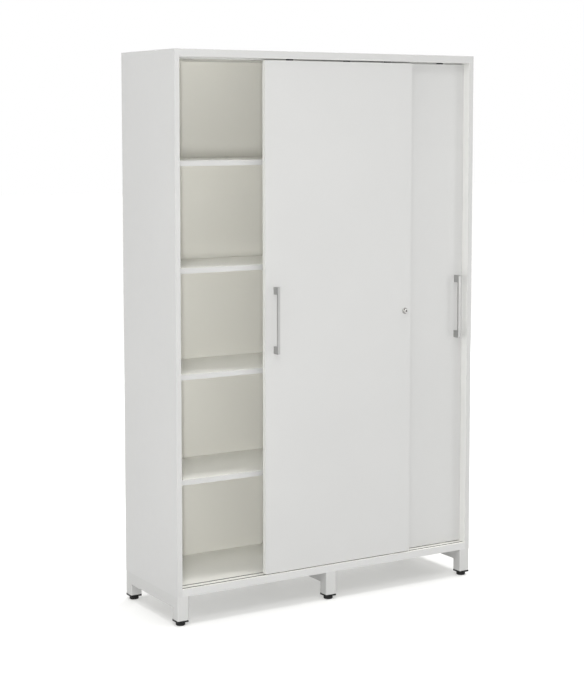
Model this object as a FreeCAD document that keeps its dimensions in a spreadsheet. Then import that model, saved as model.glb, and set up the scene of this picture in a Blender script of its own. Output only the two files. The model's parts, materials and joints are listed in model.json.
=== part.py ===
"""Tall cabinet with two bypass sliding doors on a steel leg base, in millimetres.

X runs along the front, Y from front to back and Z up. The origin is on the floor under the middle of the
cabinet and its front handle.
"""
import FreeCAD, Part
import os
import re
from collections import defaultdict

import Sketcher

# Driving dimensions
DIMENSIONS = {
    # carcass boards
    "cabinet_width": 1200,
    "cabinet_depth": 390,
    "module_height": 352,
    "module_count": 5,
    "side_thickness": 18,
    "top_thickness": 25,
    "bottom_thickness": 25,
    "divider_thickness": 18,
    "shelf_thickness": 18,
    "back_thickness": 8,
    "back_inset": 4,
    "back_play": 0.1,
    "back_groove_depth": 8,
    "back_edge_play": 0.5,
    "shelf_clearance": 4,
    "shelf_end_play": 0.5,
    "shelf_back_play": 0.8,
    # shelf pins and their rows of holes
    "pin_diameter": 5,
    "pin_length": 7,
    "pin_play": 0.05,
    "pin_end_play": 0.5,
    "pin_head_length": 8,
    "pin_head_width": 7,
    "pin_head_height": 6,
    "pin_inset": 40,
    "pin_hole_pitch": 32,
    "pin_spare_holes": 1,
    # cam fittings and dowels between the boards
    "cam_diameter": 15,
    "cam_floor": 1.5,
    "cam_distance": 24,
    "cam_pocket_diameter": 8,
    "cam_slot_length": 9,
    "cam_slot_width": 1.6,
    "cam_slot_depth": 1.5,
    "bolt_diameter": 7,
    "thread_diameter": 5,
    "thread_length": 11,
    "dowel_diameter": 8,
    "dowel_face_depth": 11,
    "dowel_edge_depth": 19,
    "dowel_offset": 32,
    "fitting_inset": 45,
    "fitting_play": 0.05,
    "fitting_end_play": 0.5,
    # steel leg frames with their screws
    "leg_size": 40,
    "leg_height": 80,
    "leg_corner": 2.5,
    "rail_height": 40,
    "tube_wall": 2,
    "tab_reach": 30,
    "tab_length": 40,
    "tab_thickness": 3,
    "tab_spread": 60,
    "screw_diameter": 5,
    "screw_grip": 15,
    "screw_play": 0.1,
    "screw_head_diameter": 9,
    "screw_head_height": 3,
    # end inserts and levelling feet
    "insert_lip": 6,
    "insert_plug": 18,
    "insert_play": 0.1,
    "foot_diameter": 32,
    "foot_height": 11.7,
    "foot_shoulder": 3,
    "foot_edge": 1.5,
    "foot_gap": 0.3,
    "stud_diameter": 8,
    "stud_length": 36,
    "stud_seat": 10,
    "stud_play": 0.05,
    # sliding doors
    "door_thickness": 18,
    "door_recess": 5,
    "door_pitch": 28,
    "door_side_play": 1,
    "door_overlap": 30,
    "door_bottom_gap": 3,
    "door_top_gap": 5,
    "front_door_open": 320,
    # bottom tracks and rollers
    "track_width": 8,
    "track_floor_thickness": 1.5,
    "track_slot_width": 5,
    "track_slot_depth": 5.5,
    "track_play": 0.05,
    "roller_diameter": 28,
    "roller_width": 4,
    "roller_edge": 0.6,
    "roller_gap": 0.3,
    "axle_diameter": 5,
    "axle_play": 0.05,
    "housing_length": 50,
    "housing_width": 12,
    "housing_height": 28,
    "housing_play": 0.1,
    "housing_inset": 70,
    "roller_side_room": 0.5,
    "roller_rim_room": 1,
    # top guides and their track
    "guide_length": 25,
    "guide_width": 8,
    "guide_depth": 14,
    "guide_play": 0.1,
    "guide_inset": 100,
    "tongue_thickness": 5,
    "tongue_reach": 7,
    "tongue_side_room": 0.5,
    "tongue_tip_room": 2,
    "top_track_wall": 1.5,
    "top_track_play": 0.05,
    "top_track_clearance": 1,
    # bow handles
    "handle_length": 226,
    "handle_width": 9,
    "handle_post": 25,
    "handle_bar": 6,
    "handle_reach": 28,
    "handle_corner": 3,
    "handle_hole_spacing": 192,
    "front_handle_inset": 36,
    "rear_handle_inset": 30,
    "handle_screw_diameter": 4,
    "handle_screw_grip": 11,
    "handle_screw_head": 8,
    "handle_screw_head_height": 2.4,
    "handle_screw_play": 0.1,
    # push lock
    "lock_inset": 25,
    "lock_flange_diameter": 22,
    "lock_flange_thickness": 2,
    "lock_flange_edge": 0.8,
    "lock_body_diameter": 17.8,
    "lock_body_play": 0.1,
    "lock_end_wall": 3,
    "lock_nut_thickness": 3,
    "lock_nut_width": 24,
    "lock_travel": 7,
    "plunger_diameter": 13,
    "plunger_proud": 0.5,
    "plunger_edge": 0.5,
    "plunger_length": 18,
    "plunger_play": 0.05,
    "latch_diameter": 8,
    "latch_rest_gap": 1,
    "key_plug_diameter": 9,
    "key_plug_length": 12,
    "key_plug_end_play": 0.3,
    "keyway_width": 1.6,
    "keyway_height": 6,
    "keyway_depth": 8,
    "strike_thickness": 4,
    "strike_width": 24,
    "strike_height": 40,
    "strike_slot_play": 0.4,
    "strike_screw_diameter": 3.5,
    "strike_screw_head": 6.5,
    "strike_screw_head_height": 2,
    "strike_screw_grip": 10,
    "strike_screw_play": 0.1,
    "strike_screw_spacing": 26,
    "strike_screw_inset": 15,
}

# Sizes and places that follow from the driving dimensions
DERIVED = {
    "handle_proud": "handle_reach - door_recess",
    "front_plane": "(handle_proud - cabinet_depth) / 2",
    "rear_plane": "front_plane + cabinet_depth",
    "right_outer": "cabinet_width / 2",
    "right_inner": "right_outer - side_thickness",
    "leg_bottom": "foot_height + foot_gap + insert_lip",
    "panel_base": "leg_bottom + leg_height",
    "floor_level": "panel_base + bottom_thickness",
    "opening_height": "module_count * module_height - shelf_thickness",
    "ceiling_level": "floor_level + opening_height",
    "back_front": "rear_plane - back_inset - back_thickness",
    "back_groove_width": "back_thickness + 2 * back_play",
    "back_overlap": "back_groove_depth - back_edge_play",
    "front_door_face": "front_plane + door_recess",
    "rear_door_face": "front_door_face + door_pitch",
    "shelf_front": "rear_door_face + door_thickness + shelf_clearance",
    "shelf_depth": "back_front - shelf_back_play - shelf_front",
    "bay_width": "right_inner - divider_thickness / 2",
    "shelf_length": "bay_width - 2 * shelf_end_play",
    "pin_hole_diameter": "pin_diameter + 2 * pin_play",
    "pin_hole_depth": "pin_length + pin_end_play",
    "pin_front_line": "shelf_front + pin_inset",
    "pin_rear_line": "shelf_front + shelf_depth - pin_inset",
    "fitting_front_line": "shelf_front + fitting_inset",
    "fitting_rear_line": "back_front - fitting_inset",
    "cam_past_axis": "cam_pocket_diameter / 2 + cam_floor",
    "tab_middle": "front_plane + cabinet_depth / 2",
    "door_width": "right_inner - door_side_play + door_overlap / 2",
    "door_bottom": "floor_level + door_bottom_gap",
    "door_height": "opening_height - door_bottom_gap - door_top_gap",
    "door_top": "door_bottom + door_height",
    "door_middle": "door_bottom + door_height / 2",
    "front_door_left": "door_side_play - right_inner + front_door_open",
    "rear_door_left": "right_inner - door_side_play - door_width",
    "front_track_line": "front_door_face + door_thickness / 2",
    "rear_track_line": "rear_door_face + door_thickness / 2",
    "track_height": "track_slot_depth + track_floor_thickness",
    "tongue_slot_width": "tongue_thickness + 2 * tongue_side_room",
    "tongue_slot_depth": "tongue_reach + tongue_tip_room",
    "top_track_front": "front_track_line - tongue_slot_width / 2 - top_track_wall",
    "top_track_width": "door_pitch + tongue_slot_width + 2 * top_track_wall",
    "top_track_height": "tongue_slot_depth + top_track_wall",
    "axle_level": "floor_level - track_slot_depth + roller_gap + roller_diameter / 2",
    "front_handle_line": "front_door_left + front_handle_inset",
    "rear_handle_line": "rear_door_left + door_width - rear_handle_inset",
    "lock_line": "front_door_left + door_width - lock_inset",
    "lock_face": "front_door_face - lock_flange_thickness",
    "lock_length": "lock_flange_thickness + door_thickness + lock_nut_thickness",
    "plunger_face": "lock_face - plunger_proud - lock_travel",
    "latch_length": "lock_face + lock_length - latch_rest_gap - plunger_face - plunger_length",
    "strike_slot_end": "rear_door_left + door_overlap - lock_inset",
}

SIDES = {"left": -1, "right": 1}
ROWS = {"front": "fitting_front_line", "rear": "fitting_rear_line"}
DOORS = ("front", "rear")
TURNS = {
    "x": FreeCAD.Rotation(FreeCAD.Vector(0, 1, 0), 90),
    "y": FreeCAD.Rotation(FreeCAD.Vector(1, 0, 0), -90),
    "z": FreeCAD.Rotation(),
}
AXES = "xyz"

doc = FreeCAD.newDocument("sliding_door_cabinet")
sheet = doc.addObject("Spreadsheet::Sheet", "sheet")
nodes = []
holes = defaultdict(list)


def formula(text):
    """The expression with each dimension's name tied to the sheet."""
    return re.sub(r"[a-z]+(?:_[a-z]+)+", r"sheet.\g<0>", str(text))


def fill_sheet():
    rows = {**DIMENSIONS, **{name: f"={text}" for name, text in DERIVED.items()}}
    for row, (name, value) in enumerate(rows.items(), start=1):
        sheet.set(f"A{row}", name)
        sheet.setAlias(f"B{row}", name)
        sheet.set(f"B{row}", str(value))
    doc.recompute()


def size_of(text):
    """The number that an expression gives now."""
    return float(sheet.evalExpression(formula(text)))


def bind(item, sizes):
    for name, text in sizes.items():
        item.setExpression(name, formula(text))
    return item


def place(item, x, y, z):
    bases = {"Placement.Base.x": x, "Placement.Base.y": y, "Placement.Base.z": z}
    return bind(item, bases)


def box(name, x, y, z, length, width, height):
    item = doc.addObject("Part::Box", name)
    bind(item, {"Length": length, "Width": width, "Height": height})
    return place(item, x, y, z)


def rod(name, axis, x, y, z, diameter, length):
    """A cylinder whose low end is at x, y, z."""
    item = doc.addObject("Part::Cylinder", name)
    item.Placement = FreeCAD.Placement(FreeCAD.Vector(), TURNS[axis])
    bind(item, {"Radius": f"({diameter}) / 2", "Height": length})
    return place(item, x, y, z)


def fuse(name, items):
    joined = doc.addObject("Part::MultiFuse", name)
    joined.Shapes = items
    return joined


def cut(name, base, tools):
    result = doc.addObject("Part::Cut", name)
    result.Base = base
    result.Tool = tools[0] if len(tools) == 1 else fuse(f"{name}_cuts", tools)
    return result


def group(name, items):
    together = doc.addObject("Part::Compound", name)
    together.Links = items
    return together


def node(label, item):
    item.Label = label
    nodes.append(item)
    return item


def low_end(start, length, sign):
    """Where a stretch that leaves start in the sign's direction has its low end."""
    return start if sign > 0 else f"{start} - ({length})"


def along(axis, low, others):
    """x, y and z of a point whose place on one axis is given apart from the others."""
    return [low if letter == axis else others[letter] for letter in AXES]


def sketch_on(body, role, points):
    """A closed outline on one of the body's own planes, each corner held by two sheet sizes."""
    plane = next(item for item in body.Origin.OriginFeatures if item.Role == role)
    sketch = body.newObject("Sketcher::SketchObject", f"{body.Name}_outline")
    sketch.AttachmentSupport = (plane, [""])
    sketch.MapMode = "FlatFace"
    corners = [FreeCAD.Vector(size_of(across), size_of(up), 0) for across, up in points]
    count = len(corners)
    for index in range(count):
        sketch.addGeometry(Part.LineSegment(corners[index], corners[(index + 1) % count]), False)
    for index in range(count):
        sketch.addConstraint(Sketcher.Constraint("Coincident", index, 2, (index + 1) % count, 1))
    for index, texts in enumerate(points):
        for kind, axis_line, text in zip(("DistanceX", "DistanceY"), (-2, -1), texts):
            if text == 0:
                sketch.addConstraint(Sketcher.Constraint("PointOnObject", index, 1, axis_line))
                continue
            value = size_of(text)
            number = sketch.addConstraint(Sketcher.Constraint(kind, -1, 1, index, 1, value))
            sketch.setExpression(f"Constraints[{number}]", formula(text))
    return sketch


def turned(name, role, points):
    """A body of revolution about its sketch's upright axis."""
    body = doc.addObject("PartDesign::Body", name)
    sketch = sketch_on(body, role, points)
    turn = body.newObject("PartDesign::Revolution", f"{name}_turn")
    turn.Profile = sketch
    turn.ReferenceAxis = (sketch, ["V_Axis"])
    turn.Angle = 360
    sketch.Visibility = False
    return body


def fitting(face_panel, edge_panel, axis, sign, joint, line, middle, cam_axis, face, inward, board):
    """One cam, its bolt and a dowel beside it, where edge_panel's edge meets face_panel at joint.

    The bolt runs along axis from the joint into edge_panel, and the cam sits in that panel's face.
    """
    at = {"y": line, cam_axis: middle}
    beside = {**at, "y": f"{line} + dowel_offset" if "front" in line else f"{line} - dowel_offset"}
    shank = rod("bolt_shank", axis, *along(axis, low_end(joint, "cam_distance", sign), at),
                "bolt_diameter", "cam_distance")
    thread = rod("bolt_thread", axis, *along(axis, low_end(joint, "thread_length", -sign), at),
                 "thread_diameter", "thread_length")
    bolt = fuse("cam_bolt", [shank, thread])

    cam_depth = f"{board} / 2 + cam_past_axis"
    cam_place = {"y": line, axis: f"{joint} + {sign} * cam_distance"}
    disc = rod("cam_disc", cam_axis, *along(cam_axis, low_end(face, cam_depth, inward), cam_place),
               "cam_diameter", cam_depth)
    pocket_start = f"{joint} + {sign} * (cam_distance - cam_diameter)"
    pocket_length = "cam_diameter + bolt_diameter / 2"
    pocket = rod("cam_pocket", axis, *along(axis, low_end(pocket_start, pocket_length, sign), at),
                 "cam_pocket_diameter", pocket_length)
    slot_sizes = {axis: "cam_slot_width", "y": "cam_slot_length", cam_axis: "cam_slot_depth"}
    slot_low = {letter: f"{cam_place[letter]} - {slot_sizes[letter]} / 2" for letter in (axis, "y")}
    slot_low[cam_axis] = low_end(face, "cam_slot_depth", inward)
    slot = box("cam_slot", *[slot_low[letter] for letter in AXES], *[slot_sizes[letter] for letter in AXES])
    cam = cut("cam_lock", disc, [pocket, slot])

    dowel_low = low_end(f"{joint} - {sign} * dowel_face_depth", "dowel_face_depth + dowel_edge_depth", sign)
    dowel = rod("dowel", axis, *along(axis, dowel_low, beside),
                "dowel_diameter", "dowel_face_depth + dowel_edge_depth")

    wider = "{} + 2 * fitting_play"
    thread_hole = "thread_length + fitting_end_play"
    dowel_face_hole = "dowel_face_depth + fitting_end_play"
    dowel_edge_hole = "dowel_edge_depth + fitting_end_play"
    cam_hole = f"{cam_depth} + fitting_end_play"
    holes[face_panel] += [
        rod("thread_hole", axis, *along(axis, low_end(joint, thread_hole, -sign), at),
            wider.format("thread_diameter"), thread_hole),
        rod("dowel_hole", axis, *along(axis, low_end(joint, dowel_face_hole, -sign), beside),
            wider.format("dowel_diameter"), dowel_face_hole),
    ]
    holes[edge_panel] += [
        rod("bolt_hole", axis, *along(axis, low_end(joint, "cam_distance", sign), at),
            wider.format("bolt_diameter"), "cam_distance"),
        rod("dowel_hole", axis, *along(axis, low_end(joint, dowel_edge_hole, sign), beside),
            wider.format("dowel_diameter"), dowel_edge_hole),
        rod("cam_hole", cam_axis, *along(cam_axis, low_end(face, cam_hole, inward), cam_place),
            wider.format("cam_diameter"), cam_hole),
    ]
    return cam, bolt, dowel


def carcass_fittings():
    """The cams, bolts and dowels of every board joint, each kind as one group."""
    sets = []
    for line in ROWS.values():
        for side, sign in SIDES.items():
            panel = f"{side}_side_panel"
            inner = f"{sign} * right_inner"
            sets.append(fitting(panel, "bottom_panel", "x", -sign, inner, line,
                                "panel_base + bottom_thickness / 2", "z", "panel_base", 1,
                                "bottom_thickness"))
            sets.append(fitting("top_panel", panel, "z", -1, "ceiling_level", line,
                                f"{sign} * (right_inner + side_thickness / 2)", "x", inner, sign,
                                "side_thickness"))
        for face_panel, sign, joint in (("top_panel", -1, "ceiling_level"),
                                        ("bottom_panel", 1, "floor_level")):
            sets.append(fitting(face_panel, "centre_divider", "z", sign, joint, line, "0", "x",
                                "divider_thickness / 2", -1, "divider_thickness"))
    for label, items in zip(("cam_locks", "cam_bolts", "dowels"), zip(*sets)):
        node(label, group(label, list(items)))


def shelf_under(number):
    return f"floor_level + {number} * module_height - shelf_thickness"


def shelves_and_pins():
    """Shelves of both bays on four pins each, with spare pin holes above and below."""
    count = int(size_of("module_count")) - 1
    spare = int(size_of("pin_spare_holes"))
    pins = []
    for side, sign in SIDES.items():
        bay_low = "divider_thickness / 2" if sign > 0 else "-right_inner"
        bay_high = "right_inner" if sign > 0 else "-divider_thickness / 2"
        low_panel = "centre_divider" if sign > 0 else "left_side_panel"
        high_panel = "right_side_panel" if sign > 0 else "centre_divider"
        for number in range(1, count + 1):
            under = shelf_under(number)
            node(f"{side}_shelf_{number}",
                 box("shelf", f"{bay_low} + shelf_end_play", "shelf_front", under,
                     "shelf_length", "shelf_depth", "shelf_thickness"))
            for line in ("pin_front_line", "pin_rear_line"):
                for panel, face, way in ((low_panel, bay_low, 1), (high_panel, bay_high, -1)):
                    level = f"{under} - pin_head_height / 2"
                    head = box("pin_head", low_end(face, "pin_head_length", way),
                               f"{line} - pin_head_width / 2", f"{under} - pin_head_height",
                               "pin_head_length", "pin_head_width", "pin_head_height")
                    shank = rod("pin_shank", "x", low_end(face, "pin_length", -way), line, level,
                                "pin_diameter", "pin_length")
                    pins.append(fuse("shelf_pin", [head, shank]))
                    for step in range(-spare, spare + 1):
                        holes[panel].append(
                            rod("pin_hole", "x", low_end(face, "pin_hole_depth", -way), line,
                                f"{level} + {step} * pin_hole_pitch", "pin_hole_diameter", "pin_hole_depth"))
    node("shelf_pins", group("shelf_pins", pins))


def back_groove(x, z, length, height):
    return box("back_groove", x, "back_front - back_play", z, length, "back_groove_width", height)


def boards():
    """Sides, top, bottom, divider and back, with the grooves and holes that the fittings asked for."""
    for side, sign in SIDES.items():
        label = f"{side}_side_panel"
        low = "right_inner" if sign > 0 else "-right_outer"
        blank = box(f"{side}_blank", low, "front_plane", "panel_base",
                    "side_thickness", "cabinet_depth", "ceiling_level - panel_base")
        groove = back_groove(low_end(f"{sign} * right_inner", "back_groove_depth", sign),
                             "floor_level - back_groove_depth", "back_groove_depth",
                             "opening_height + back_groove_depth")
        node(label, cut(label, blank, [groove] + holes[label]))

    top = box("top_blank", "-right_outer", "front_plane", "ceiling_level",
              "cabinet_width", "cabinet_depth", "top_thickness")
    wide = "2 * (right_inner + back_groove_depth)"
    low = "-right_inner - back_groove_depth"
    cuts = [back_groove(low, "ceiling_level", wide, "back_groove_depth"),
            box("top_track_groove", "-right_inner", "top_track_front - top_track_play", "ceiling_level",
                "2 * right_inner", "top_track_width + 2 * top_track_play", "top_track_height")]
    node("top_panel", cut("top_panel", top, cuts + holes["top_panel"]))

    bottom = box("bottom_blank", "-right_inner", "front_plane", "panel_base",
                 "2 * right_inner", "cabinet_depth", "bottom_thickness")
    cuts = [back_groove("-right_inner", "floor_level - back_groove_depth",
                        "2 * right_inner", "back_groove_depth")]
    for door in DOORS:
        cuts.append(box("track_groove", "-right_inner", f"{door}_track_line - track_width / 2 - track_play",
                        "floor_level - track_height", "2 * right_inner", "track_width + 2 * track_play",
                        "track_height"))
    node("bottom_panel", cut("bottom_panel", bottom, cuts + holes["bottom_panel"]))

    divider = box("divider_blank", "-divider_thickness / 2", "shelf_front", "floor_level",
                  "divider_thickness", "back_front - shelf_front", "opening_height")
    node("centre_divider", cut("centre_divider", divider, holes["centre_divider"]))

    node("back_panel", box("back_panel", "-right_inner - back_overlap", "back_front",
                           "floor_level - back_overlap", "2 * (right_inner + back_overlap)",
                           "back_thickness", "opening_height + 2 * back_overlap"))


def bottom_tracks():
    for door in DOORS:
        label = f"{door}_bottom_track"
        profile = box(f"{label}_blank", "-right_inner", f"{door}_track_line - track_width / 2",
                      "floor_level - track_height", "2 * right_inner", "track_width", "track_height")
        slot = box("track_slot", "-right_inner", f"{door}_track_line - track_slot_width / 2",
                   "floor_level - track_slot_depth", "2 * right_inner", "track_slot_width",
                   "track_slot_depth")
        node(label, cut(label, profile, [slot]))


def top_track():
    """A plastic track in the top panel: a slot for each door's guides and a lip behind the rear slot."""
    body = box("top_track_body", "-right_inner", "top_track_front", "ceiling_level",
               "2 * right_inner", "top_track_width", "top_track_height")
    lip = box("top_track_lip", "-right_inner", "top_track_front + top_track_width - top_track_wall",
              "door_top + top_track_clearance", "2 * right_inner", "top_track_wall",
              "door_top_gap - top_track_clearance")
    slots = [box("tongue_slot", "-right_inner", f"{door}_track_line - tongue_slot_width / 2", "ceiling_level",
                 "2 * right_inner", "tongue_slot_width", "tongue_slot_depth") for door in DOORS]
    node("top_track", cut("top_track", fuse("top_track_blank", [body, lip]), slots))


def rounded_leg(name, x, y):
    """A square leg with its four upright edges rounded."""
    leg = box(f"{name}_square", x, y, "leg_bottom", "leg_size", "leg_size", "leg_height")
    doc.recompute()
    upright = [number for number, edge in enumerate(leg.Shape.Edges, start=1)
               if edge.BoundBox.ZLength > edge.BoundBox.XLength + edge.BoundBox.YLength]
    rounded = doc.addObject("Part::Fillet", name)
    rounded.Base = leg
    corner = size_of("leg_corner")
    rounded.Edges = [(number, corner, corner) for number in upright]
    return rounded


def leg_frames():
    """Three welded frames of square tube, each with a front leg, a rear leg, a rail and screw tabs."""
    frames = {"left": ("-right_outer", (1,)), "centre": ("-leg_size / 2", (-1, 1)),
              "right": ("right_outer - leg_size", (-1,))}
    ends = {"front": "front_plane", "rear": "rear_plane - leg_size"}
    inserts, screws = [], []
    for frame, (low, tab_ways) in frames.items():
        rail_level = "panel_base - rail_height"
        steel = [box("rail", low, "front_plane + leg_size / 2", rail_level,
                     "leg_size", "cabinet_depth - leg_size", "rail_height")]
        inner = "leg_size - 2 * tube_wall"
        hollow = [box("rail_hollow", f"{low} + tube_wall", "front_plane + tube_wall",
                      f"{rail_level} + tube_wall", inner, "cabinet_depth - 2 * tube_wall",
                      "rail_height - 2 * tube_wall")]
        tab_holes = []
        for end, line in ends.items():
            steel.append(rounded_leg(f"{frame}_{end}_leg", low, line))
            hollow.append(box("leg_hollow", f"{low} + tube_wall", f"{line} + tube_wall", "leg_bottom",
                              inner, inner, "leg_height - tube_wall"))
            inserts.append(leg_insert(low, line))
            levelling_foot(f"{end}_{frame}", f"{low} + leg_size / 2", f"{line} + leg_size / 2")
        for way in tab_ways:
            root = f"{low} + leg_size" if way > 0 else low
            for spread in (-1, 1):
                line = f"tab_middle + {spread} * tab_spread"
                centre = f"{root} + {way} * tab_reach / 2"
                steel.append(box("tab", low_end(root, "tab_reach", way), f"{line} - tab_length / 2",
                                 "panel_base - tab_thickness", "tab_reach", "tab_length", "tab_thickness"))
                screw, hole, pilot = frame_screw(centre, line)
                screws.append(screw)
                tab_holes.append(hole)
                holes["bottom_panel"].append(pilot)
        label = f"leg_frame_{frame}"
        node(label, cut(label, fuse(f"{label}_steel", steel), hollow + tab_holes))
    node("leg_inserts", group("leg_inserts", inserts))
    node("frame_screws", group("frame_screws", screws))


def frame_screw(x, y):
    """A pan head screw up through a tab, the hole in the tab and the pilot hole in the board."""
    seat = "panel_base - tab_thickness"
    head = rod("screw_head", "z", x, y, f"{seat} - screw_head_height",
               "screw_head_diameter", "screw_head_height")
    shank = rod("screw_shank", "z", x, y, seat, "screw_diameter", "tab_thickness + screw_grip")
    wide = "screw_diameter + 2 * screw_play"
    hole = rod("tab_hole", "z", x, y, seat, wide, "tab_thickness")
    pilot = rod("pilot_hole", "z", x, y, "panel_base", wide, "screw_grip + screw_play")
    return fuse("frame_screw", [head, shank]), hole, pilot


def leg_insert(x, y):
    """A plastic end piece with a lip under the tube, a plug in it and a bore for the foot's stud."""
    lip = box("insert_lip_plate", x, y, "leg_bottom - insert_lip", "leg_size", "leg_size", "insert_lip")
    margin = "tube_wall + insert_play"
    plug = box("insert_plug_block", f"{x} + {margin}", f"{y} + {margin}", "leg_bottom",
               f"leg_size - 2 * ({margin})", f"leg_size - 2 * ({margin})", "insert_plug")
    bore = rod("insert_bore", "z", f"{x} + leg_size / 2", f"{y} + leg_size / 2", "leg_bottom - insert_lip",
               "stud_diameter + 2 * stud_play", "insert_lip + insert_plug")
    return cut("leg_insert", fuse("insert_body", [lip, plug]), [bore])


def levelling_foot(corner, x, y):
    """A round foot with a threaded stud that screws into the leg's insert."""
    seat = "stud_diameter / 2 + stud_play"
    foot = turned(f"foot_{corner}", "XZ_Plane", [
        (0, 0),
        ("foot_diameter / 2 - foot_edge", 0),
        ("foot_diameter / 2", "foot_edge"),
        ("foot_diameter / 2", "foot_height - foot_shoulder"),
        ("foot_diameter / 2 - foot_shoulder", "foot_height"),
        (seat, "foot_height"),
        (seat, "foot_height - stud_seat"),
        (0, "foot_height - stud_seat"),
    ])
    node(f"foot_{corner}", place(foot, x, y, "0"))
    node(f"foot_stud_{corner}", rod("stud", "z", x, y, "foot_height - stud_seat",
                                    "stud_diameter", "stud_length"))


def door_ends(door, inset):
    """X of a fitting near the left end and near the right end of a door."""
    return {"left": f"{door}_door_left + {inset}", "right": f"{door}_door_left + door_width - {inset}"}


def rollers(door):
    """Two housings in the door's low edge, each with a roller on an axle, running in the bottom track."""
    line = f"{door}_track_line"
    housings, axles, pockets = [], [], []
    for end, x in door_ends(door, "housing_inset").items():
        body = box("housing_body", f"{x} - housing_length / 2", f"{line} - housing_width / 2", "door_bottom",
                   "housing_length", "housing_width", "housing_height")
        room_length = "roller_diameter + 2 * roller_rim_room"
        room_width = "roller_width + 2 * roller_side_room"
        room = box("roller_room", f"{x} - ({room_length}) / 2", f"{line} - ({room_width}) / 2", "door_bottom",
                   room_length, room_width,
                   "axle_level + roller_diameter / 2 + roller_rim_room - door_bottom")
        axle_low = f"{line} - housing_width / 2"
        axle_hole = rod("axle_hole", "y", x, axle_low, "axle_level",
                        "axle_diameter + 2 * axle_play", "housing_width")
        housings.append(cut("roller_housing", body, [room, axle_hole]))
        axles.append(rod("axle", "y", x, axle_low, "axle_level", "axle_diameter", "housing_width"))
        pockets.append(box("housing_pocket", f"{x} - housing_length / 2 - housing_play",
                           f"{line} - housing_width / 2 - housing_play", "door_bottom",
                           "housing_length + 2 * housing_play", "housing_width + 2 * housing_play",
                           "housing_height + housing_play"))
        bore = "axle_diameter / 2 + axle_play"
        rim = "roller_diameter / 2"
        wheel = turned(f"{door}_{end}_roller", "XY_Plane", [
            (bore, 0),
            (f"{rim} - roller_edge", 0),
            (rim, "roller_edge"),
            (rim, "roller_width - roller_edge"),
            (f"{rim} - roller_edge", "roller_width"),
            (bore, "roller_width"),
        ])
        node(f"{door}_{end}_roller", place(wheel, x, f"{line} - roller_width / 2", "axle_level"))
    node(f"{door}_roller_housings", group(f"{door}_roller_housings", housings))
    node(f"{door}_axles", group(f"{door}_axles", axles))
    return pockets


def top_guides(door):
    """Two plastic guides in the door's top edge, with tongues in a slot of the top track."""
    line = f"{door}_track_line"
    guides, pockets = [], []
    for x in door_ends(door, "guide_inset").values():
        low = f"{x} - guide_length / 2"
        body = box("guide_body", low, f"{line} - guide_width / 2", "door_top - guide_depth",
                   "guide_length", "guide_width", "guide_depth")
        tongue = box("guide_tongue", low, f"{line} - tongue_thickness / 2", "door_top",
                     "guide_length", "tongue_thickness", "door_top_gap + tongue_reach")
        guides.append(fuse("top_guide", [body, tongue]))
        pockets.append(box("guide_pocket", f"{low} - guide_play", f"{line} - guide_width / 2 - guide_play",
                           "door_top - guide_depth - guide_play", "guide_length + 2 * guide_play",
                           "guide_width + 2 * guide_play", "guide_depth + guide_play"))
    node(f"{door}_top_guides", group(f"{door}_top_guides", guides))
    return pockets


def handle(door):
    """A bow handle with two posts, held by two screws from behind the door."""
    x = f"{door}_handle_line"
    face = f"{door}_door_face"
    body = doc.addObject("PartDesign::Body", f"{door}_bow")
    sketch = sketch_on(body, "YZ_Plane", [
        (0, 0),
        ("handle_reach", 0),
        ("handle_reach", "handle_post"),
        ("handle_bar", "handle_post"),
        ("handle_bar", "handle_length - handle_post"),
        ("handle_reach", "handle_length - handle_post"),
        ("handle_reach", "handle_length"),
        (0, "handle_length"),
    ])
    pad = body.newObject("PartDesign::Pad", f"{door}_bow_pad")
    pad.Profile = sketch
    bind(pad, {"Length": "handle_width"})
    sketch.Visibility = False
    doc.recompute()
    bar = size_of("handle_bar")
    across = [f"Edge{number}" for number, edge in enumerate(pad.Shape.Edges, start=1)
              if edge.BoundBox.XLength > edge.BoundBox.ZLength + edge.BoundBox.YLength
              and edge.CenterOfMass.y < bar + edge.Tolerance]
    corners = body.newObject("PartDesign::Fillet", f"{door}_bow_corners")
    corners.Base = (pad, across)
    bind(corners, {"Radius": "handle_corner"})
    place(body, f"{x} - handle_width / 2", f"{face} - handle_reach", "door_middle - handle_length / 2")

    wide = "handle_screw_diameter + 2 * handle_screw_play"
    head_wide = "handle_screw_head + 2 * handle_screw_play"
    rear_face = f"{face} + door_thickness"
    screws, post_holes, door_holes = [], [], []
    for way in (-1, 1):
        level = f"door_middle + {way} * handle_hole_spacing / 2"
        shank = rod("handle_shank", "y", x, f"{face} - handle_screw_grip", level, "handle_screw_diameter",
                    "handle_screw_grip + door_thickness - handle_screw_head_height")
        head = rod("handle_head", "y", x, f"{rear_face} - handle_screw_head_height", level,
                   "handle_screw_head", "handle_screw_head_height")
        screws.append(fuse("handle_screw", [shank, head]))
        post_holes.append(rod("post_hole", "y", x, f"{face} - handle_screw_grip - handle_screw_play", level,
                              wide, "handle_screw_grip + handle_screw_play"))
        door_holes.append(rod("door_hole", "y", x, face, level, wide, "door_thickness"))
        door_holes.append(rod("head_hole", "y", x, f"{rear_face} - handle_screw_head_height", level,
                              head_wide, "handle_screw_head_height"))
    node(f"{door}_handle", cut(f"{door}_handle", body, post_holes))
    node(f"{door}_handle_screws", group(f"{door}_handle_screws", screws))
    return door_holes


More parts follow.
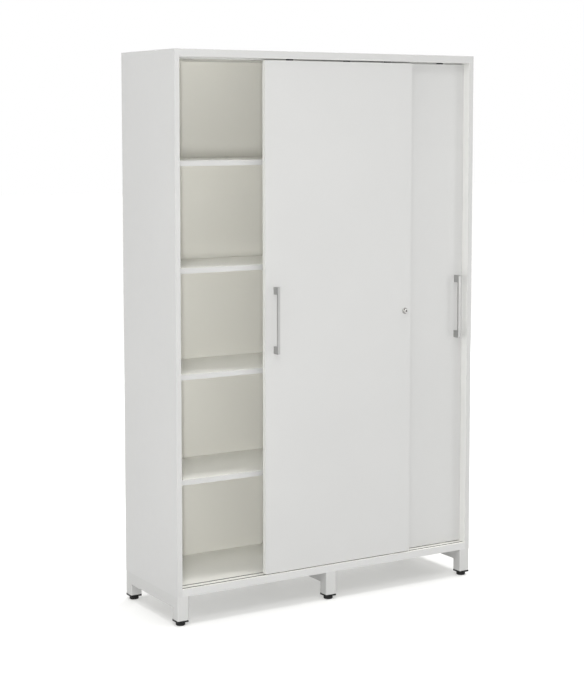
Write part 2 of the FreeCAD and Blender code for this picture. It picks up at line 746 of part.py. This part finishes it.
def push_lock():
    """Housing and nut in the front door, and a plunger whose front holds the turning key plug."""
    bore = "plunger_diameter / 2 + plunger_play"
    latch_bore = "latch_diameter / 2 + plunger_play"
    flange = "lock_flange_diameter / 2"
    shell = "lock_body_diameter / 2"
    housing = turned("lock_housing", "XY_Plane", [
        (bore, 0),
        (f"{flange} - lock_flange_edge", 0),
        (flange, "lock_flange_edge"),
        (flange, "lock_flange_thickness"),
        (shell, "lock_flange_thickness"),
        (shell, "lock_length"),
        (latch_bore, "lock_length"),
        (latch_bore, "lock_length - lock_end_wall"),
        (bore, "lock_length - lock_end_wall"),
    ])
    node("lock_housing", place(housing, "lock_line", "lock_face", "door_middle"))

    plug_bore = "key_plug_diameter / 2 + plunger_play"
    plug_seat = "key_plug_length + key_plug_end_play"
    plunger = turned("lock_plunger", "XY_Plane", [
        (plug_bore, 0),
        ("plunger_diameter / 2 - plunger_edge", 0),
        ("plunger_diameter / 2", "plunger_edge"),
        ("plunger_diameter / 2", "plunger_length"),
        ("latch_diameter / 2", "plunger_length"),
        ("latch_diameter / 2", "plunger_length + latch_length"),
        (0, "plunger_length + latch_length"),
        (0, plug_seat),
        (plug_bore, plug_seat),
    ])
    node("lock_plunger", place(plunger, "lock_line", "plunger_face", "door_middle"))

    core = rod("key_core", "y", "lock_line", "plunger_face", "door_middle",
               "key_plug_diameter", "key_plug_length")
    keyway = box("keyway", "lock_line - keyway_width / 2", "plunger_face", "door_middle - keyway_height / 2",
                 "keyway_width", "keyway_depth", "keyway_height")
    node("lock_key_plug", cut("lock_key_plug", core, [keyway]))

    nut = doc.addObject("Part::Prism", "nut_blank")
    nut.Polygon = 6
    nut.Placement = FreeCAD.Placement(FreeCAD.Vector(), TURNS["y"])
    bind(nut, {"Circumradius": "lock_nut_width / 2", "Height": "lock_nut_thickness"})
    place(nut, "lock_line", "front_door_face + door_thickness", "door_middle")
    thread = "lock_body_diameter + 2 * lock_body_play"
    nut_bore = rod("nut_bore", "y", "lock_line", "front_door_face + door_thickness", "door_middle",
                   thread, "lock_nut_thickness")
    node("lock_nut", cut("lock_nut", nut, [nut_bore]))
    return [rod("lock_bore", "y", "lock_line", "front_door_face", "door_middle", thread, "door_thickness")]


def lock_strike():
    """A slotted plate on the rear door, which the lock's latch catches when both doors are shut."""
    low = "rear_door_face - strike_thickness"
    slot_width = "latch_diameter + 2 * strike_slot_play"
    plate = box("strike_plate", "rear_door_left", low, "door_middle - strike_height / 2",
                "strike_width", "strike_thickness", "strike_height")
    slot = box("strike_slot", "rear_door_left - latch_diameter", low, f"door_middle - ({slot_width}) / 2",
               "latch_diameter + strike_slot_end - rear_door_left", "strike_thickness", slot_width)
    slot_end = rod("strike_slot_round", "y", "strike_slot_end", low, "door_middle",
                   slot_width, "strike_thickness")
    cuts, door_holes, screws = [slot, slot_end], [], []
    x = "rear_door_left + strike_screw_inset"
    wide = "strike_screw_diameter + 2 * strike_screw_play"
    for way in (-1, 1):
        level = f"door_middle + {way} * strike_screw_spacing / 2"
        head = rod("strike_head", "y", x, low, level, "strike_screw_head", "strike_screw_head_height")
        shank = rod("strike_shank", "y", x, f"{low} + strike_screw_head_height", level,
                    "strike_screw_diameter",
                    "strike_thickness - strike_screw_head_height + strike_screw_grip")
        screws.append(fuse("strike_screw", [head, shank]))
        cuts.append(rod("strike_hole", "y", x, low, level, wide, "strike_thickness"))
        cuts.append(rod("strike_head_hole", "y", x, low, level,
                        "strike_screw_head + 2 * strike_screw_play", "strike_screw_head_height"))
        door_holes.append(rod("strike_pilot", "y", x, "rear_door_face", level, wide,
                              "strike_screw_grip + strike_screw_play"))
    node("lock_strike", cut("lock_strike", plate, cuts))
    node("strike_screws", group("strike_screws", screws))
    return door_holes


def doors():
    """Both doors with their rollers, guides and handles; the lock is shared between them."""
    extra = {"front": push_lock(), "rear": lock_strike()}
    for door in DOORS:
        cuts = rollers(door) + top_guides(door) + handle(door) + extra[door]
        slab = box(f"{door}_slab", f"{door}_door_left", f"{door}_door_face", "door_bottom",
                   "door_width", "door_thickness", "door_height")
        node(f"{door}_door", cut(f"{door}_door", slab, cuts))


def check_and_write():
    """Every object has to be sound before any file is written."""
    doc.recompute()
    for item in doc.Objects:
        if {"Invalid", "Error"} & set(item.State):
            raise RuntimeError(f"{item.Name} ({item.Label}) failed: {item.State}")
    for item in nodes:
        if item.Shape.isNull() or not item.Shape.isValid() or not item.Shape.Solids:
            raise RuntimeError(f"{item.Label} has no sound solid")
    os.makedirs("parts", exist_ok=True)
    for item in nodes:
        item.Shape.exportStep(f"parts/{item.Label}.step")
    print(len(nodes), "nodes,", sum(len(item.Shape.Solids) for item in nodes), "solids")


fill_sheet()
carcass_fittings()
shelves_and_pins()
leg_frames()
bottom_tracks()
top_track()
doors()
boards()
check_and_write()
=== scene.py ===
"""Looks of the sliding door cabinet: materials, rounded edges, studio and camera."""
import json
import math
from typing import NamedTuple

import bpy
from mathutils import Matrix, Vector

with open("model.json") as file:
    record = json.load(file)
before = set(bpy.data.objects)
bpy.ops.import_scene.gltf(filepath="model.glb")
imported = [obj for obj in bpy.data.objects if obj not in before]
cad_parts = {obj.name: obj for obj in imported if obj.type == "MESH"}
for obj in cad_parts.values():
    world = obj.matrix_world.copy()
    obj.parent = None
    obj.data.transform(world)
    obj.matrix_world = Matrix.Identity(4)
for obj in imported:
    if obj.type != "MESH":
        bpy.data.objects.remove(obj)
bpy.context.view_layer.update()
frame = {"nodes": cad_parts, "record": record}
scene = bpy.context.scene

# Camera fitted to the photograph, with the sensor's width along the photograph's height
IMAGE_HEIGHT = 683
SENSOR = 36.0
FOCAL_PIXELS = 1619.7
SHIFT_PIXELS = -70.0
CAMERA_PLACE = (-2.9921, -4.8186, 1.6546)
CAMERA_YAW = 31.426
CAMERA_PITCH = -5.255
VIEW_DEPTH = 200.0

# Colours of boards and steel, linear; several board colours are painted light and shade, as noted at each
WHITE_BOARD = (0.582, 0.582, 0.572)
# Painted shade: the doors take the carcass laminate a little darker, to offset the stronger light that
# falls on them
DOOR_BOARD_PAINTED_SHADE = (0.553, 0.553, 0.543)
# Painted light: the front door's left edge face is made lighter, as the light from the left falls on it
DOOR_EDGE_PAINTED_LIGHT = (0.74, 0.738, 0.715)
# Painted shade: the front edges of the side and top panels are made darker than the board, as they catch
# light from all round
FRONT_EDGE_PAINTED_SHADE = (0.54, 0.54, 0.53)
INNER_EDGE = (0.545, 0.545, 0.533)
# Painted light inside the cabinet: the sides' inner faces and the divider, the top's underside, the shelves
# and the bottom's upper face, and the back's inner face take the same white laminate lighter than outside,
# making up for the light that does not reach in; their warm tint is painted shade
INNER_SIDE_PAINTED_LIGHT = (0.70, 0.70, 0.68)
TOP_UNDERSIDE_PAINTED_LIGHT = (0.88, 0.872, 0.833)
SHELF_BOARD_PAINTED_LIGHT = (0.92, 0.914, 0.862)
BACK_BOARD_PAINTED_LIGHT = (0.80, 0.789, 0.729)
WHITE_STEEL = (0.548, 0.548, 0.536)

# Colours of fittings, linear
BLACK = (0.006, 0.006, 0.0065)
TRACK_GREY = (0.13, 0.13, 0.125)
WHITE_PLASTIC = (0.60, 0.60, 0.58)
NYLON = (0.68, 0.67, 0.63)
SATIN_NICKEL = (0.41, 0.41, 0.405)
NICKEL = (0.50, 0.495, 0.48)
ZINC = (0.45, 0.46, 0.48)
BEECH = (0.52, 0.33, 0.17)
KEY_PLUG = (0.20, 0.196, 0.188)
# Painted shade and painted highlight: the lock's flange is a darker and its plunger a lighter copy of the
# nickel, for the shaded rim and the bright centre
LOCK_FLANGE_PAINTED_SHADE = (0.29, 0.287, 0.28)
LOCK_PLUNGER_PAINTED_HIGHLIGHT = (0.68, 0.675, 0.66)

# Directions that a face can be turned to
LEFT, RIGHT = (-1.0, 0.0, 0.0), (1.0, 0.0, 0.0)
FRONT, BACK = (0.0, -1.0, 0.0), (0.0, 1.0, 0.0)
DOWN, UP = (0.0, 0.0, -1.0), (0.0, 0.0, 1.0)

# Noise spread over each axis, so that its strokes or grain run along the axis that is held back
ALONG_X = (1.0, 6.0, 6.0)
ALONG_Y = (6.0, 1.0, 6.0)
ALONG_Z = (6.0, 6.0, 1.0)
ALONG_HANDLE = (14.0, 14.0, 0.5)
BEECH_GRAIN = (1.0, 1.0, 0.15)
FINE_STROKES = 700.0

# Part of a noise's range that is spread out, and how far a face turns before it takes the colour given for
# its side, which on the boards is mostly painted light and shade
NOISE_RANGE = (0.3, 0.7)
TURN_RANGE = (0.4, 0.8)

# Sockets of a Mix node for colours
MIX_FIRST, MIX_SECOND, MIX_RESULT = 6, 7, 2


class Shader:
    """A node material with a Principled shader and object coordinates."""

    def __init__(self, name, roughness, metallic=0.0):
        self.material = bpy.data.materials.new(name)
        self.material.use_nodes = True
        self.tree = self.material.node_tree
        self.bsdf = self.tree.nodes["Principled BSDF"]
        self.bsdf.inputs["Roughness"].default_value = roughness
        self.bsdf.inputs["Metallic"].default_value = metallic
        source = self.add("ShaderNodeTexCoord")
        self.coordinates, self.facing = source.outputs["Object"], source.outputs["Normal"]

    def add(self, kind, **settings):
        node = self.tree.nodes.new(kind)
        for key, value in settings.items():
            setattr(node, key, value)
        return node

    def link(self, source, target):
        self.tree.links.new(source, target)

    def stretched(self, scale):
        """Object coordinates with each axis scaled."""
        mapping = self.add("ShaderNodeMapping")
        mapping.inputs["Scale"].default_value = scale
        self.link(self.coordinates, mapping.inputs["Vector"])
        return mapping.outputs["Vector"]

    def noise(self, scale, detail=2.0, stretch=None):
        """Noise of so many waves in a metre and so many finer layers."""
        texture = self.add("ShaderNodeTexNoise")
        texture.inputs["Scale"].default_value = scale
        texture.inputs["Detail"].default_value = detail
        vector = self.stretched(stretch) if stretch else self.coordinates
        self.link(vector, texture.inputs["Vector"])
        return texture.outputs["Fac"]

    def band(self, source, low, high, span=NOISE_RANGE):
        """The source's span taken to the values from low to high."""
        spread = self.add("ShaderNodeMapRange")
        spread.inputs["From Min"].default_value, spread.inputs["From Max"].default_value = span
        spread.inputs["To Min"].default_value = low
        spread.inputs["To Max"].default_value = high
        self.link(source, spread.inputs["Value"])
        return spread.outputs["Result"]

    def turned_to(self, way):
        """How far a face is turned to the direction way, in the board's own axes."""
        dot = self.add("ShaderNodeVectorMath", operation="DOT_PRODUCT")
        dot.inputs[1].default_value = way
        self.link(self.facing, dot.inputs[0])
        return dot.outputs["Value"]

    def feed(self, colour, target):
        """A colour, given or from a node, into the socket target."""
        if isinstance(colour, tuple):
            target.default_value = (*colour, 1.0)
        else:
            self.link(colour, target)

    def two_tone(self, colour, face, way):
        """The colour all over, with the faces turned to the direction way in the colour face."""
        value = self.add("ShaderNodeMix", data_type="RGBA")
        self.feed(colour, value.inputs[MIX_FIRST])
        self.feed(face, value.inputs[MIX_SECOND])
        self.link(self.band(self.turned_to(way), 0.0, 1.0, TURN_RANGE), value.inputs["Factor"])
        return value.outputs[MIX_RESULT]

    def tone(self, colour, sources):
        """The base colour, given or from a node, made lighter and darker by each source in turn."""
        value = self.add("ShaderNodeMix", data_type="RGBA", blend_type="MULTIPLY")
        value.inputs["Factor"].default_value = 1.0
        self.feed(colour, value.inputs[MIX_FIRST])
        product = sources[0]
        for source in sources[1:]:
            multiply = self.add("ShaderNodeMath", operation="MULTIPLY")
            self.link(product, multiply.inputs[0])
            self.link(source, multiply.inputs[1])
            product = multiply.outputs["Value"]
        self.link(product, value.inputs[MIX_SECOND])
        self.link(value.outputs[MIX_RESULT], self.bsdf.inputs["Base Color"])

    def rough(self, source):
        self.link(source, self.bsdf.inputs["Roughness"])

    def bump(self, source, depth):
        """Relief of the given depth in metres."""
        node = self.add("ShaderNodeBump")
        node.inputs["Strength"].default_value = 1.0
        node.inputs["Distance"].default_value = depth
        self.link(source, node.inputs["Height"])
        self.link(node.outputs["Normal"], self.bsdf.inputs["Normal"])


def laminate(name, colour, *faces):
    """White melamine board: a fine pearl texture, a barely uneven tone and faces turned each way in colours
    of their own, mostly painted light and shade.
    """
    tones = (0.985, 1.015)
    shader = Shader(name, roughness=0.45)
    cloud = shader.noise(scale=2.3, detail=3.0)
    speck = shader.noise(scale=700.0)
    pearl = shader.noise(scale=1100.0)
    gloss = shader.noise(scale=35.0, detail=4.0)
    for way, face in faces:
        colour = shader.two_tone(colour, face, way)
    shader.tone(colour, [shader.band(cloud, *tones), shader.band(speck, *tones)])
    shader.rough(shader.band(gloss, low=0.42, high=0.50))
    shader.bump(pearl, depth=0.00002)
    return shader.material


def powder_coat():
    """White powder coated steel with a light orange peel."""
    shader = Shader("white_powder_coat", roughness=0.40)
    cloud = shader.noise(scale=6.0, detail=3.0)
    peel = shader.noise(scale=420.0)
    gloss = shader.noise(scale=60.0, detail=3.0)
    shader.tone(WHITE_STEEL, [shader.band(cloud, low=0.98, high=1.02),
                              shader.band(peel, low=0.99, high=1.01)])
    shader.rough(shader.band(gloss, low=0.36, high=0.45))
    shader.bump(peel, depth=0.00008)
    return shader.material


def moulded(name, colour, roughness, grain=900.0, shine=0.5):
    """Moulded plastic with a fine grain and slightly uneven gloss."""
    uneven = 0.06
    shader = Shader(name, roughness)
    shader.bsdf.inputs["Specular IOR Level"].default_value = shine
    cloud = shader.noise(scale=25.0, detail=3.0)
    grains = shader.noise(grain, detail=3.0)
    shader.tone(colour, [shader.band(cloud, low=0.9, high=1.1), shader.band(grains, low=0.92, high=1.08)])
    shader.rough(shader.band(grains, roughness - uneven, roughness + uneven))
    shader.bump(grains, depth=0.00004)
    return shader.material


def brushed(name, colour, roughness, stretch, strokes=FINE_STROKES):
    """Metal brushed along the axis that stretch holds back."""
    smoother, rougher = 0.05, 0.07
    shader = Shader(name, roughness, metallic=1.0)
    brush = shader.noise(strokes, detail=4.0, stretch=stretch)
    cloud = shader.noise(scale=18.0)
    shader.tone(colour, [shader.band(brush, low=0.93, high=1.07), shader.band(cloud, low=0.97, high=1.03)])
    shader.rough(shader.band(brush, roughness - smoother, roughness + rougher))
    shader.bump(brush, depth=0.00002)
    return shader.material


def beech():
    """Bare beech with a fine upright grain."""
    shader = Shader("beech", roughness=0.65)
    grain = shader.noise(scale=140.0, detail=4.0, stretch=BEECH_GRAIN)
    shader.tone(BEECH, [shader.band(grain, low=0.82, high=1.12)])
    shader.bump(grain, depth=0.0001)
    return shader.material


# Materials by slot, and those of single nodes, which all the boards have
MATERIALS = {
    "white_steel": powder_coat(),
    "black_plastic": moulded("black_plastic", BLACK, roughness=0.5, shine=0.25),
    "grey_plastic": moulded("grey_plastic", TRACK_GREY, roughness=0.55, grain=500.0),
    "white_plastic": moulded("white_plastic", WHITE_PLASTIC, roughness=0.5),
    "nylon": moulded("nylon", NYLON, roughness=0.4),
    "satin_steel": brushed("satin_nickel", SATIN_NICKEL, roughness=0.34,
                           stretch=ALONG_HANDLE, strokes=60.0),
    "nickel": brushed("bright_nickel", NICKEL, roughness=0.24, stretch=ALONG_Y),
    "zinc": brushed("zinc", ZINC, roughness=0.42, stretch=ALONG_Z, strokes=300.0),
    "beech": beech(),
}
SHELF_LAMINATE_PAINTED_LIGHT = laminate("shelf_laminate_painted_light", SHELF_BOARD_PAINTED_LIGHT, (FRONT, INNER_EDGE))
# The boards' own materials carry painted light and shade: lighter, warm-tinted inner faces, shelves and
# back, a lighter door edge, darker front edges and darker doors; the lock's flange and plunger are a darker
# and a lighter copy of the nickel, painted shade and painted highlight
OWN_MATERIALS = {
    "lock_key_plug": brushed("key_plug_metal", KEY_PLUG, roughness=0.34, stretch=ALONG_X),
    "lock_housing": brushed("lock_flange_painted_shade", LOCK_FLANGE_PAINTED_SHADE, roughness=0.30, stretch=ALONG_Y),
    "lock_plunger": brushed("lock_plunger_painted_highlight", LOCK_PLUNGER_PAINTED_HIGHLIGHT, roughness=0.24, stretch=ALONG_Y),
    "front_door": laminate("front_door_laminate_painted_light_and_shade", DOOR_BOARD_PAINTED_SHADE, (LEFT, DOOR_EDGE_PAINTED_LIGHT)),
    "rear_door": laminate("rear_door_laminate_painted_shade", DOOR_BOARD_PAINTED_SHADE),
    "back_panel": laminate("back_laminate_painted_light", BACK_BOARD_PAINTED_LIGHT, (BACK, WHITE_BOARD)),
    "left_side_panel": laminate("left_side_laminate_painted_light_and_shade", WHITE_BOARD,
                                (RIGHT, INNER_SIDE_PAINTED_LIGHT), (FRONT, FRONT_EDGE_PAINTED_SHADE)),
    "right_side_panel": laminate("right_side_laminate_painted_light_and_shade", WHITE_BOARD,
                                 (LEFT, INNER_SIDE_PAINTED_LIGHT), (FRONT, FRONT_EDGE_PAINTED_SHADE)),
    "top_panel": laminate("top_laminate_painted_light_and_shade", WHITE_BOARD,
                          (DOWN, TOP_UNDERSIDE_PAINTED_LIGHT), (FRONT, FRONT_EDGE_PAINTED_SHADE)),
    "bottom_panel": laminate("bottom_laminate_painted_light", WHITE_BOARD, (UP, SHELF_BOARD_PAINTED_LIGHT)),
    "centre_divider": laminate("divider_laminate_painted_light", INNER_SIDE_PAINTED_LIGHT, (FRONT, INNER_EDGE)),
    **{f"{side}_shelf_{level}": SHELF_LAMINATE_PAINTED_LIGHT for side in ("left", "right") for level in range(1, 5)},
}

# Width of the rounding along edges, by material slot, in metres
ROUNDING = {"white_laminate": 0.0007, "satin_steel": 0.0008, "black_plastic": 0.0006, "white_steel": 0.0005}
ROUNDING_STEPS = 2
SHARP = math.radians(50.0)


def dress_nodes():
    """Every solid gets its material, and those of the slots in ROUNDING a rounding along sharp edges."""
    for row in frame["record"]["subparts"]:
        node, slot = row["node"], row["material_slot"]
        solid = frame["nodes"][node]
        solid.data.materials.clear()
        solid.data.materials.append(OWN_MATERIALS.get(node) or MATERIALS[slot])
        if slot in ROUNDING:
            bevel = solid.modifiers.new("edge_rounding", "BEVEL")
            bevel.width = ROUNDING[slot]
            bevel.segments = ROUNDING_STEPS
            bevel.limit_method = "ANGLE"
            bevel.angle_limit = SHARP
            bevel.use_clamp_overlap = False
            bevel.harden_normals = True


# Studio floor and background
FLOOR_SIZE = 60.0
FLOOR_ALBEDO = (0.60, 0.60, 0.60)
FLOOR_LIFT = 0.37
FLOOR_TINT = (1.0, 0.998, 0.96)
WORLD_LIGHT = 0.33
BACKGROUND = 1.0
WHITE_LIGHT = (1.0, 1.0, 1.0, 1.0)


def seen_directly(tree):
    """A factor that is 1 for rays that come from the camera, a mirror or glass, and 0 for all others."""
    path = tree.nodes.new("ShaderNodeLightPath")
    total = path.outputs["Is Camera Ray"]
    for name in ("Is Glossy Ray", "Is Transmission Ray"):
        larger = tree.nodes.new("ShaderNodeMath")
        larger.operation = "MAXIMUM"
        tree.links.new(total, larger.inputs[0])
        tree.links.new(path.outputs[name], larger.inputs[1])
        total = larger.outputs["Value"]
    return total


def make_floor():
    """Pale floor that takes the cabinet's shadow, and looks white where it is seen directly."""
    bpy.ops.mesh.primitive_plane_add(size=FLOOR_SIZE, location=(0.0, 0.0, 0.0))
    floor = bpy.context.object
    floor.name = "studio_floor"
    material = bpy.data.materials.new("studio_floor")
    material.use_nodes = True
    tree = material.node_tree
    tree.nodes.clear()
    output = tree.nodes.new("ShaderNodeOutputMaterial")
    diffuse = tree.nodes.new("ShaderNodeBsdfDiffuse")
    diffuse.inputs["Color"].default_value = (*FLOOR_ALBEDO, 1.0)
    lift = tree.nodes.new("ShaderNodeEmission")
    lift.inputs["Color"].default_value = (*FLOOR_TINT, 1.0)
    strength = tree.nodes.new("ShaderNodeMath")
    strength.operation = "MULTIPLY"
    strength.inputs[1].default_value = FLOOR_LIFT
    both = tree.nodes.new("ShaderNodeAddShader")
    tree.links.new(seen_directly(tree), strength.inputs[0])
    tree.links.new(strength.outputs["Value"], lift.inputs["Strength"])
    tree.links.new(diffuse.outputs["BSDF"], both.inputs[0])
    tree.links.new(lift.outputs["Emission"], both.inputs[1])
    tree.links.new(both.outputs["Shader"], output.inputs["Surface"])
    floor.data.materials.append(material)


def make_world():
    """White background where it is seen directly, and a dimmer light from all around on the cabinet."""
    world = bpy.data.worlds.new("studio")
    world.use_nodes = True
    scene.world = world
    tree = world.node_tree
    tree.nodes.clear()
    output = tree.nodes.new("ShaderNodeOutputWorld")
    mix = tree.nodes.new("ShaderNodeMixShader")
    tree.links.new(seen_directly(tree), mix.inputs["Fac"])
    for socket, strength in ((mix.inputs[1], WORLD_LIGHT), (mix.inputs[2], BACKGROUND)):
        light = tree.nodes.new("ShaderNodeBackground")
        light.inputs["Color"].default_value = WHITE_LIGHT
        light.inputs["Strength"].default_value = strength
        tree.links.new(light.outputs["Background"], socket)
    tree.links.new(mix.outputs["Shader"], output.inputs["Surface"])


class Softbox(NamedTuple):
    """A rectangular lamp: place, aim, width and height in metres, power in watts."""
    name: str
    place: tuple
    aim: tuple
    size: tuple
    power: float


# Lamps, all aimed at about half the cabinet's height, and the ceiling's soft light
AIM_HEIGHT = 0.95
SOFTBOXES = (
    Softbox("camera_side_softbox", (-3.47, -5.61, 1.28), (-0.2, 0.0, AIM_HEIGHT), (0.3, 0.9), 172.0),
    Softbox("upper_softbox", (-3.2, -4.7, 6.8), (0.0, 0.0, AIM_HEIGHT), (1.7, 2.9), 160.0),
    Softbox("left_softbox", (-6.0, -1.2, 1.8), (-0.6, 0.0, AIM_HEIGHT), (2.5, 2.5), 58.0),
    Softbox("right_softbox", (4.97, -4.24, 1.6), (0.4, 0.0, AIM_HEIGHT), (1.2, 2.4), 42.0),
    Softbox("back_softbox", (4.6, 4.4, 2.4), (0.0, 0.0, AIM_HEIGHT), (3.0, 2.4), 130.0),
)
CEILING_STRENGTH = 2.4
CEILING_SPREAD = math.radians(32.0)
CEILING_TILT = math.radians(5.0)


def aim(thing, way):
    """Turns a lamp or camera to look along the direction way."""
    thing.rotation_mode = "QUATERNION"
    thing.rotation_quaternion = way.to_track_quat("-Z", "Y")


def make_lights():
    """The softboxes and the ceiling light."""
    for box in SOFTBOXES:
        data = bpy.data.lights.new(box.name, "AREA")
        data.shape = "RECTANGLE"
        data.size, data.size_y = box.size
        data.energy = box.power
        lamp = bpy.data.objects.new(box.name, data)
        lamp.location = box.place
        aim(lamp, Vector(box.aim) - Vector(box.place))
        scene.collection.objects.link(lamp)
    data = bpy.data.lights.new("ceiling_light", "SUN")
    data.energy = CEILING_STRENGTH
    data.angle = CEILING_SPREAD
    lamp = bpy.data.objects.new("ceiling_light", data)
    lamp.rotation_euler = (0.0, CEILING_TILT, 0.0)
    scene.collection.objects.link(lamp)


def make_camera():
    """The camera at the photograph's viewing angle."""
    data = bpy.data.cameras.new("camera")
    data.sensor_width = SENSOR
    data.lens = FOCAL_PIXELS * SENSOR / IMAGE_HEIGHT
    data.shift_y = SHIFT_PIXELS / IMAGE_HEIGHT
    data.clip_end = VIEW_DEPTH
    camera = bpy.data.objects.new("camera", data)
    camera.location = CAMERA_PLACE
    yaw, pitch = math.radians(CAMERA_YAW), math.radians(CAMERA_PITCH)
    aim(camera, Vector((math.sin(yaw) * math.cos(pitch), math.cos(yaw) * math.cos(pitch), math.sin(pitch))))
    scene.collection.objects.link(camera)
    scene.camera = camera


dress_nodes()
make_floor()
make_world()
make_lights()
make_camera()
scene.view_settings.view_transform = "Standard"
